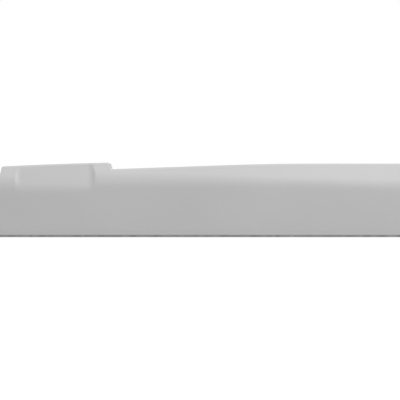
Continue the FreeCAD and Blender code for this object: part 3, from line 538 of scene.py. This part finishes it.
def apron(mesh):
    """The low wall across the front, under the board, with a rolled top."""
    y = np.linspace(-APRON_HALF, APRON_HALF, APRON_STATIONS)
    reach = np.clip(np.abs(y) - CORNER_Y, 0, CORNER)
    plan_x = CORNER_X + np.sqrt(CORNER**2 - reach**2)
    roll = APRON_THICKNESS / 2
    section = [(up, 0.0) for up in APRON_RISE]
    for turn in np.linspace(0, math.pi, 9):
        section.append((APRON_TOP - roll + roll * math.sin(turn), roll * (1 - math.cos(turn))))
    section.append((FOOT_Z, APRON_THICKNESS))
    rows = []
    for up, back in section:
        rise = max(up - CREST + NOSE_RADIUS, 0)
        nose_x = NOSE_TURN_X + math.sqrt(NOSE_RADIUS**2 - rise**2)
        front = np.minimum(plan_x, nose_x) - back
        rows.append([mesh.verts.new((px * MM, py * MM, up * MM)) for px, py in zip(front, y)])
    for low, high in zip(rows, rows[1:] + rows[:1]):
        bridge(mesh, low, high)
    for end in (0, -1):
        mesh.faces.new([row[end] for row in rows])


def finished(name, mesh, material, sharp=40):
    """Turns a bmesh into a smooth-shaded object with true corners kept crisp."""
    bmesh.ops.remove_doubles(mesh, verts=mesh.verts, dist=0.00005)
    bmesh.ops.recalc_face_normals(mesh, faces=mesh.faces)
    data = bpy.data.meshes.new(name)
    mesh.to_mesh(data)
    mesh.free()
    data.shade_smooth()
    data.set_sharp_from_angle(angle=math.radians(sharp))
    data.materials.append(material)
    thing = bpy.data.objects.new(name, data)
    bpy.context.collection.objects.link(thing)
    return thing


def cowling():
    """The whole shell: two skins a wall apart, the tunnel's side walls, the apron and the rim."""
    mesh = bmesh.new()
    x = stations()
    rears = {}
    for side in (1, -1):
        outer = cowling_skin(mesh, x, side, 0.0)
        inner = cowling_skin(mesh, x, side, WALL)
        for out_sheet, in_sheet in zip(outer, inner):
            bridge(mesh, out_sheet[0], in_sheet[0])
        bridge(mesh, outer[1][-1], inner[1][-1])
        close_ends(mesh, outer, inner)
        across = sorted((side * CHANNEL, side * (CHANNEL + WALL)))
        along = (CHANNEL_WALL_REAR, SADDLE_FRONT[1])
        block(mesh, along, across, (CHANNEL_FOOT, TUNNEL_TOP + CHANNEL_WALL_LAP))
        rears[side] = [[row[0] for row in sheets[0]] for sheets in (outer, inner)]
    for left, right in zip(rears[1], rears[-1]):
        close_rear(mesh, left, right)
    (outer_left, inner_left), (outer_right, inner_right) = rears[1], rears[-1]
    mesh.faces.new((outer_left[0], outer_right[0], inner_right[0], inner_left[0]))
    apron(mesh)
    outline_ring(mesh, RIM)
    return finished("moulded_cowling", mesh, COWLING)


shell = cowling()
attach(shell, "base")
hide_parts("base_shell")


# ---- board, springs, stops and seal ----------------------------------------------

BOARD_CORNER = 30.0
BELLY_ROLL = 9.0
EDGE_ROLL = 6.0

# The seal's bulb section, as distance out from the flank and height.
SEAL = (
    (-12.5, 0.0), (-0.9, 0.0), (-0.3, 0.5), (0.0, 1.4),
    (0.0, FOOT_Z - 1.4), (-0.3, FOOT_Z - 0.5), (-0.9, FOOT_Z), (-12.5, FOOT_Z),
)

# Both stops stand on the base plates. Their crowns are given as distances in and down, and the
# post's flared foot as distances out and up.
STOP_SIDES = 40
PLATE_TOP = box_mm("front_base_plate")[1][2]
BUMP_RADIUS = 22.0
BUMP_X = box_mm("bump_stop")[1][0] - BUMP_RADIUS
BUMP_TOP = PLATE_TOP + 39.5
BUMP_BORE = 5.2
BUMP_WELL = 10.0
BUMP_FLOOR = PLATE_TOP + 8.0
BUMP_CHAMFER = 1.5
WELL_CHAMFER = 1.2
BUMP_CROWN = ((0.4, 2.3), (1.6, 0.7), (3.5, 0.0))
POST_RADIUS = 15.0
POST_FOOT = 24.0
POST_X = box_mm("rebound_bumper")[1][0] - POST_FOOT
POST_TOP = box_mm("rebound_bumper")[1][2]
POST_FLARE = ((-1.0, 0.0), (0.0, 1.0), (-0.6, 3.0), (-4.0, 8.0), (-7.4, 13.0))
POST_CROWN = ((0.4, 3.5), (1.8, 1.5), (4.5, 0.3), (8.0, 0.0))

# The springs stand on both sides of the bump stop, between the floors of their seats.
SPRING_X = BUMP_X
SPRING_Y = 130.0
SEAT_FLOOR = 4.0
SEAT_GAP = 0.3
SPRING_FOOT = box_mm("lower_spring_seats")[0][2] + SEAT_FLOOR + SEAT_GAP
SPRING_TOP = box_mm("upper_spring_seats")[1][2] - SEAT_FLOOR - SEAT_GAP
WIRE = 10.0
COIL_WIDE = 50.0
COIL_NARROW = 24.0
COIL_TURNS = 4
COIL_STATIONS = 52
WIRE_SIDES = 14
COIL_FLAT = 0.1
COIL_CONE = 0.55


def rounded_plan(half_x, half_y, radius, centre_x):
    """Points round a rectangle with round corners."""
    points = []
    for quarter, (sx, sy) in enumerate(((1, 1), (-1, 1), (-1, -1), (1, -1))):
        for turn in np.linspace(0, math.pi / 2, 9):
            angle = turn + quarter * math.pi / 2
            points.append((
                centre_x + sx * (half_x - radius) + radius * math.cos(angle),
                sy * (half_y - radius) + radius * math.sin(angle),
            ))
    return points


def join_rings(mesh, low, high):
    """Faces between two rings, either of which may be a single point."""
    count = max(len(low), len(high))
    for i in range(count):
        j = (i + 1) % count
        corners = [low[i % len(low)], low[j % len(low)], high[j % len(high)], high[i % len(high)]]
        unique = list(dict.fromkeys(corners))
        if len(unique) > 2:
            mesh.faces.new(unique)


def board_skin():
    """The board's moulded body: rounded below, a tighter roll along the top edge."""
    (heel, _, foot), (tip, half_y, _) = box_mm("board_hull")
    top = box_mm("board_deck")[1][2]
    half_x = (tip - heel) / 2
    profile = []
    for turn in np.linspace(0, math.pi / 2, 8):
        profile.append((BELLY_ROLL * (1 - math.sin(turn)), foot + BELLY_ROLL * (1 - math.cos(turn))))
    for turn in np.linspace(0, math.pi / 2, 7):
        profile.append((EDGE_ROLL * (1 - math.cos(turn)), top - EDGE_ROLL * (1 - math.sin(turn))))
    mesh = bmesh.new()
    rings = []
    for inset, z in profile:
        plan = rounded_plan(half_x - inset, half_y - inset, BOARD_CORNER - inset, (tip + heel) / 2)
        rings.append([mesh.verts.new((x * MM, y * MM, z * MM)) for x, y in plan])
    for low, high in zip(rings, rings[1:]):
        join_rings(mesh, low, high)
    mesh.faces.new(rings[0])
    mesh.faces.new(rings[-1])
    return finished("board_skin", mesh, BOARD_COAT)


def seal_ring():
    """The bulb seal under the cowling's rim."""
    mesh = bmesh.new()
    outline_ring(mesh, SEAL)
    return finished("rim_seal", mesh, GASKET)


def turned(name, profile, centre_x, material):
    """A solid of revolution on the middle line, from its outline of radius and height."""
    mesh = bmesh.new()
    rings = []
    for radius, z in profile:
        count = STOP_SIDES if radius > 0 else 1
        angles = np.arange(count) * 2 * math.pi / count
        rings.append([
            mesh.verts.new(((centre_x + radius * math.cos(a)) * MM, radius * math.sin(a) * MM, z * MM))
            for a in angles
        ])
    closed = rings + [rings[0]] if len(rings[0]) > 1 else rings
    for low, high in zip(closed, closed[1:]):
        join_rings(mesh, low, high)
    return finished(name, mesh, material, sharp=35)


def ribbed(radius, depth, low, high, ribs):
    """An outline that bulges out and in between two heights."""
    count = ribs * 8
    return [
        (radius - depth * (0.5 - 0.5 * math.cos(2 * math.pi * ribs * i / count)),
         low + (high - low) * i / count)
        for i in range(count + 1)
    ]


def bump_stop():
    """The ribbed stop between the springs, with a well for its bolt."""
    profile = [
        (BUMP_BORE, PLATE_TOP),
        (BUMP_RADIUS - BUMP_CHAMFER, PLATE_TOP),
        (BUMP_RADIUS, PLATE_TOP + BUMP_CHAMFER),
        *ribbed(BUMP_RADIUS, 2.2, PLATE_TOP + 4.0, BUMP_TOP - 4.5, 3),
        *((BUMP_RADIUS - inward, BUMP_TOP - down) for inward, down in BUMP_CROWN),
        (BUMP_WELL + WELL_CHAMFER, BUMP_TOP),
        (BUMP_WELL, BUMP_TOP - WELL_CHAMFER),
        (BUMP_WELL, BUMP_FLOOR),
        (BUMP_BORE, BUMP_FLOOR),
    ]
    return turned("ribbed_bump_stop", profile, BUMP_X, STOP)


def rebound_bumper():
    """The taller ribbed post that the board's heel comes back against."""
    profile = [
        (0.0, PLATE_TOP),
        *((POST_FOOT + outward, PLATE_TOP + up) for outward, up in POST_FLARE),
        *ribbed(POST_RADIUS, 1.8, PLATE_TOP + 17.0, POST_TOP - 5.7, 4),
        *((POST_RADIUS - inward, POST_TOP - down) for inward, down in POST_CROWN),
        (0.0, POST_TOP),
    ]
    return turned("ribbed_rebound_bumper", profile, POST_X, STOP)


def coil(name, side):
    """A conical compression spring whose end turns lie flat in their seats."""
    foot = SPRING_FOOT + WIRE / 2
    rise = SPRING_TOP - SPRING_FOOT - WIRE
    sweep = 2 * math.pi * COIL_TURNS
    mesh = bmesh.new()
    rings = []
    steps = COIL_STATIONS * COIL_TURNS
    for i in range(steps + 1):
        share = i / steps
        angle = sweep * share * side
        climb = np.clip((share - COIL_FLAT) / (1 - 2 * COIL_FLAT), 0, 1)
        radius = COIL_WIDE + (COIL_NARROW - COIL_WIDE) * min(share / COIL_CONE, 1)
        outward = Vector((math.cos(angle), math.sin(angle), 0))
        centre = Vector((SPRING_X, side * SPRING_Y, foot + rise * climb)) + outward * radius
        slope = Vector((-math.sin(angle), math.cos(angle), 0)) * side * radius * sweep
        if 0 < climb < 1:
            slope.z = rise / (1 - 2 * COIL_FLAT)
        upward = outward.cross(slope.normalized()).normalized()
        rings.append([
            mesh.verts.new((centre + (outward * math.cos(a) + upward * math.sin(a)) * WIRE / 2) * MM)
            for a in np.arange(WIRE_SIDES) * 2 * math.pi / WIRE_SIDES
        ])
    for here, there in zip(rings, rings[1:]):
        join_rings(mesh, here, there)
    mesh.faces.new(rings[0])
    mesh.faces.new(rings[-1])
    return finished(name, mesh, COIL, sharp=50)


skin = board_skin()
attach(skin, "board")
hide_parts("board_hull", "board_deck")

seal = seal_ring()
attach(seal, "base")
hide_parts("base_gasket")

for hand, side in (("left", 1), ("right", -1)):
    wound = coil(f"coil_spring_{hand}", side)
    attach(wound, "base")
    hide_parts(f"spring_{hand}")
    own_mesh(wound)

bump = bump_stop()
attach(bump, "base")
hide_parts("bump_stop")

post = rebound_bumper()
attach(post, "base")
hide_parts("rebound_bumper")


# ---- stage, light and camera -----------------------------------------------------

# Metres from here on. The floor lies just under the seal, so that no two faces share a plane.
FLOOR_HALF = 30.0
FLOOR_Z = -0.0006
FLOOR_TONE = 0.58
SUN_FROM = (0.42, -0.32, 0.85)
SUN_SOFTNESS = 40
SUN_STRENGTH = 3.4
SOFTBOX_PLACE = (1.4, -1.7, 0.7)
SOFTBOX_TARGET = (0.1, -0.3, 0.08)
SOFTBOX_SIZE = (1.0, 0.6)
SOFTBOX_POWER = 5.5
SENSOR = 36.0
VIEW_WIDTH = 0.8
VIEW_SHIFT = -0.075
CAMERA_DISTANCE = 25.0
CAMERA_HEIGHT = 0.0739


def set_floor():
    """A wide, plain, pale floor."""
    half = FLOOR_HALF
    mesh = bpy.data.meshes.new("floor")
    corners = [(x, y, FLOOR_Z) for x, y in ((-half, -half), (half, -half), (half, half), (-half, half))]
    mesh.from_pydata(corners, [], [(0, 1, 2, 3)])
    material, _ = node_material("floor_white", (FLOOR_TONE,) * 3, 0.9)
    mesh.materials.append(material)
    floor = bpy.data.objects.new("floor", mesh)
    bpy.context.collection.objects.link(floor)


def set_world():
    """Even white light from all round, shown without a film look."""
    scene = bpy.context.scene
    scene.view_settings.view_transform = "Standard"
    scene.world = bpy.data.worlds.new("studio")
    scene.world.use_nodes = True
    background = scene.world.node_tree.nodes["Background"]
    background.inputs["Color"].default_value = (1, 1, 1, 1)
    background.inputs["Strength"].default_value = 1.0


def set_sun():
    """The broad key light, from above, ahead and the camera's side."""
    light = bpy.data.lights.new("overhead", "SUN")
    light.angle = math.radians(SUN_SOFTNESS)
    light.energy = SUN_STRENGTH
    lamp = bpy.data.objects.new("overhead", light)
    lamp.rotation_euler = Vector(SUN_FROM).to_track_quat("Z", "Y").to_euler()
    bpy.context.collection.objects.link(lamp)


def set_softbox():
    """A small fill on the camera's side."""
    light = bpy.data.lights.new("softbox", "AREA")
    light.shape = "RECTANGLE"
    light.size, light.size_y = SOFTBOX_SIZE
    light.energy = SOFTBOX_POWER
    lamp = bpy.data.objects.new("softbox", light)
    lamp.location = SOFTBOX_PLACE
    aim = Vector(SOFTBOX_TARGET) - Vector(SOFTBOX_PLACE)
    lamp.rotation_euler = aim.to_track_quat("-Z", "Y").to_euler()
    bpy.context.collection.objects.link(lamp)


def set_camera():
    """Level side view of the cowling's rear two thirds, with a long lens."""
    low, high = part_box("base_shell")
    camera = bpy.data.cameras.new("camera")
    camera.sensor_width = SENSOR
    camera.lens = SENSOR * CAMERA_DISTANCE / VIEW_WIDTH
    view = bpy.data.objects.new("camera", camera)
    centre_x = (low.x + high.x) / 2 + VIEW_SHIFT
    view.location = (centre_x, low.y - CAMERA_DISTANCE, CAMERA_HEIGHT)
    view.rotation_euler = (math.radians(90), 0, 0)
    bpy.context.collection.objects.link(view)
    bpy.context.scene.camera = view


set_floor()
set_world()
set_sun()
set_softbox()
set_camera()
